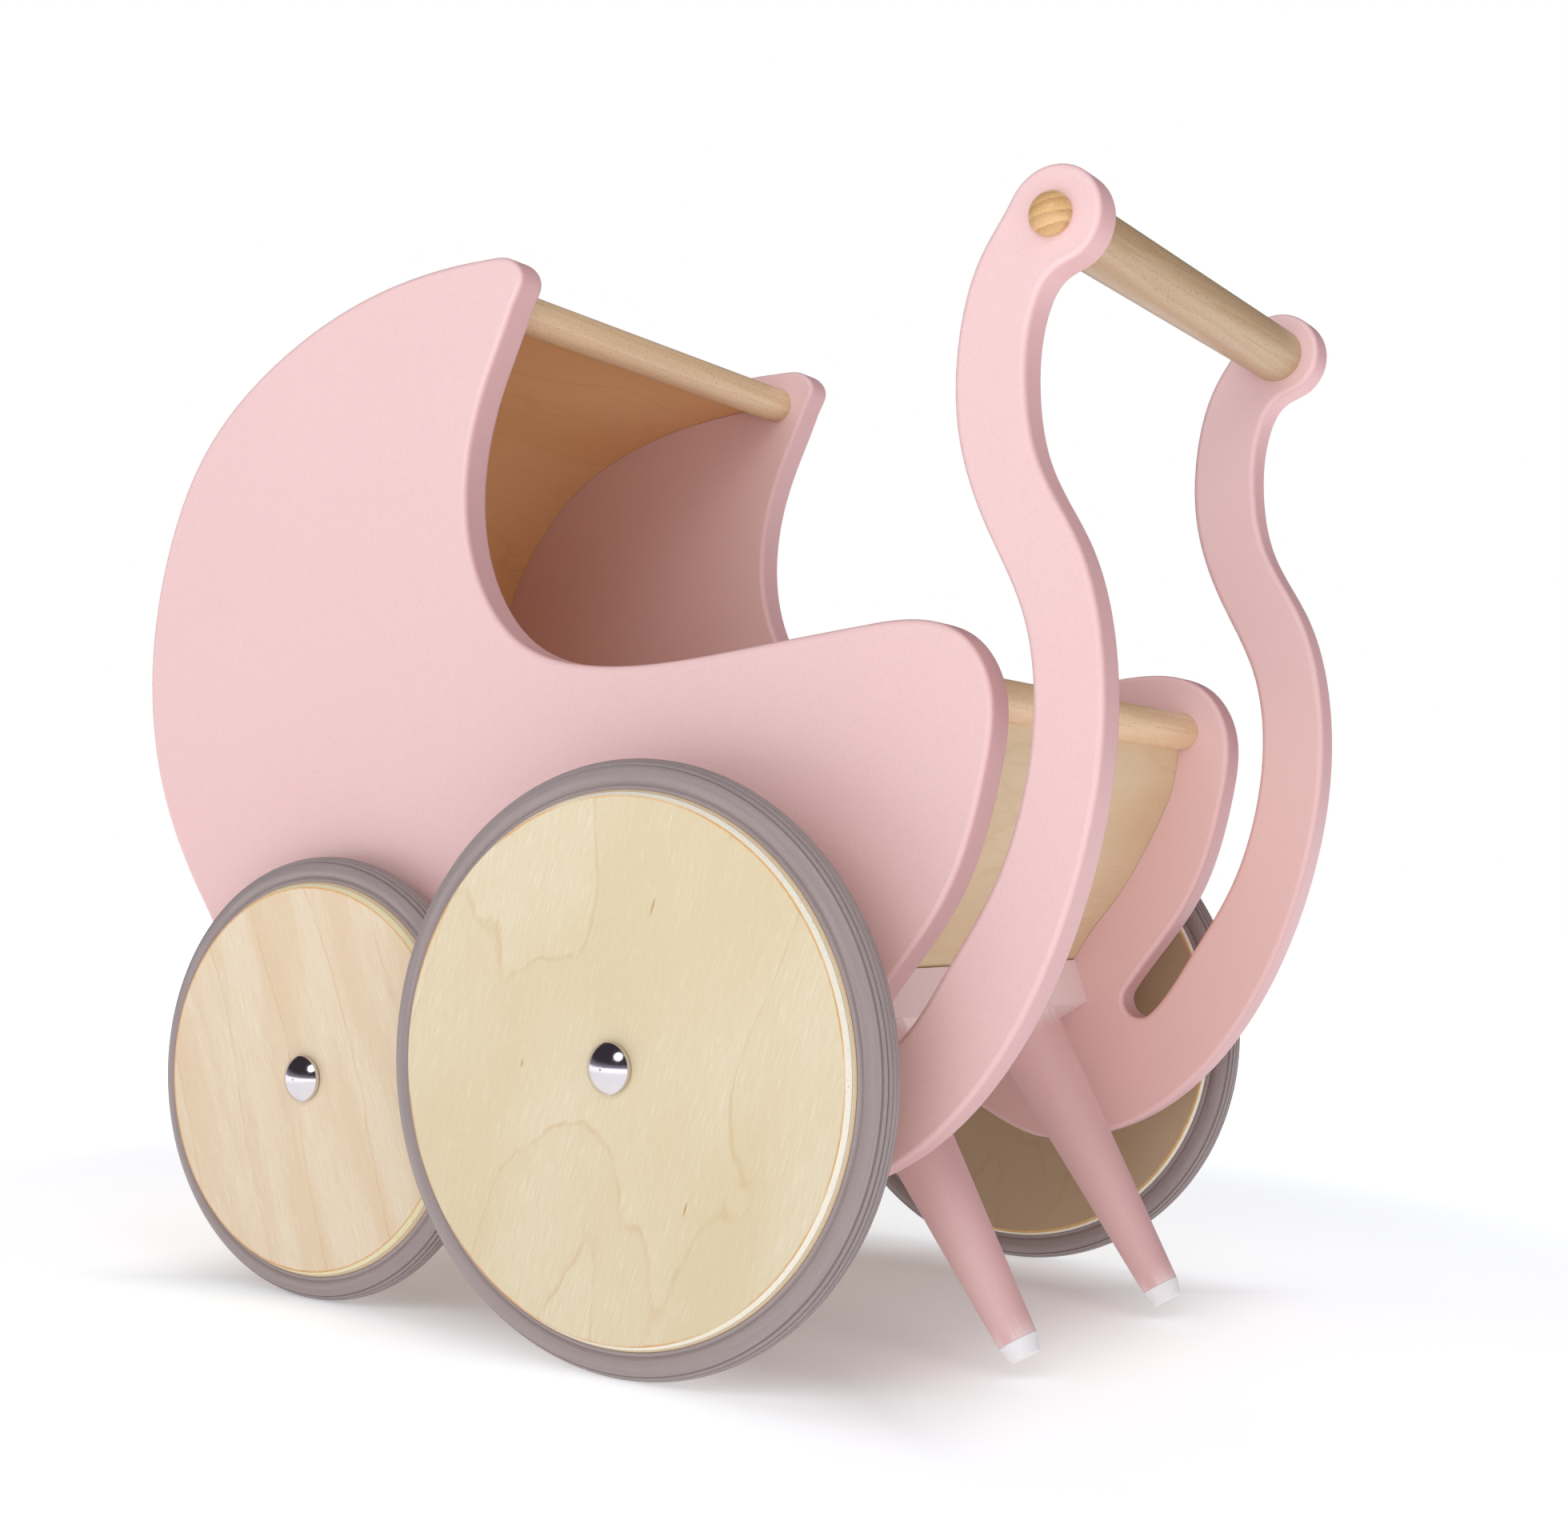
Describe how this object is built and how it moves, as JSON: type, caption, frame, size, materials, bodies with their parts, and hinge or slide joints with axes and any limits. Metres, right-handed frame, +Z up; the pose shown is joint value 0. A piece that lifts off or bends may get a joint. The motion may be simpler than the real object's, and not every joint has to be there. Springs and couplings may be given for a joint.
{
  "type": "doll stroller",
  "caption": "Toy pram with two painted curved side panels, a bent plywood hood and foot, a cross handle and spinning wooden wheels with ribbed rubber tyres.",
  "frame": {"origin": "on the floor, under the centre of the bounding box", "axes": "+X towards the handle at the rear, +Y to the right-hand side of a person pushing, +Z up"},
  "size_m": [0.5222, 0.3818, 0.4735],
  "materials": {
    "pink_paint": "satin lacquer",
    "wheel_plywood": "satin",
    "shell_plywood": "satin",
    "foot_plywood": "satin",
    "beech": "satin",
    "tyre_rubber": "matte",
    "cap_chrome": "polished",
    "axle_steel": "brushed",
    "hub_plastic": "satin",
    "foot_rubber": "matte"
  },
  "bodies": {
    "frame": {"left_side_panel": "pink_paint", "right_side_panel": "pink_paint", "hood_shell": "shell_plywood", "foot_shell": "foot_plywood", "floor_board": "shell_plywood", "hood_dowel": "beech", "foot_dowel": "beech", "handle_bar": "beech", "left_handle_screw": "axle_steel", "right_handle_screw": "axle_steel", "left_handle_plug": "beech", "right_handle_plug": "beech", "cross_beam": "pink_paint", "beam_pins": "beech", "left_leg": "pink_paint", "right_leg": "pink_paint", "left_foot_cap": "foot_rubber", "right_foot_cap": "foot_rubber", "left_leg_bolt": "axle_steel", "right_leg_bolt": "axle_steel", "rear_axle": "axle_steel", "front_axle": "axle_steel", "rear_left_spacer": "hub_plastic", "rear_left_hub_cap": "cap_chrome", "rear_right_spacer": "hub_plastic", "rear_right_hub_cap": "cap_chrome", "front_left_spacer": "hub_plastic", "front_left_hub_cap": "cap_chrome", "front_right_spacer": "hub_plastic", "front_right_hub_cap": "cap_chrome"},
    "rear_left_wheel": {"rear_left_wheel_disc": "wheel_plywood", "rear_left_tyre": "tyre_rubber", "rear_left_hub_bush": "hub_plastic"},
    "rear_right_wheel": {"rear_right_wheel_disc": "wheel_plywood", "rear_right_tyre": "tyre_rubber", "rear_right_hub_bush": "hub_plastic"},
    "front_left_wheel": {"front_left_wheel_disc": "wheel_plywood", "front_left_tyre": "tyre_rubber", "front_left_hub_bush": "hub_plastic"},
    "front_right_wheel": {"front_right_wheel_disc": "wheel_plywood", "front_right_tyre": "tyre_rubber", "front_right_hub_bush": "hub_plastic"}
  },
  "joints": [
    {"name": "rear_left_wheel_spin", "type": "hinge", "parent": "frame", "child": "rear_left_wheel", "pos_m": [0.08, -0.162, 0.122], "axis": [0, 1, 0], "continuous": true},
    {"name": "rear_right_wheel_spin", "type": "hinge", "parent": "frame", "child": "rear_right_wheel", "pos_m": [0.08, 0.162, 0.122], "axis": [0, 1, 0], "continuous": true},
    {"name": "front_left_wheel_spin", "type": "hinge", "parent": "frame", "child": "front_left_wheel", "pos_m": [-0.1139, -0.136, 0.1], "axis": [0, 1, 0], "continuous": true},
    {"name": "front_right_wheel_spin", "type": "hinge", "parent": "frame", "child": "front_right_wheel", "pos_m": [-0.1139, 0.136, 0.1], "axis": [0, 1, 0], "continuous": true}
  ]
}
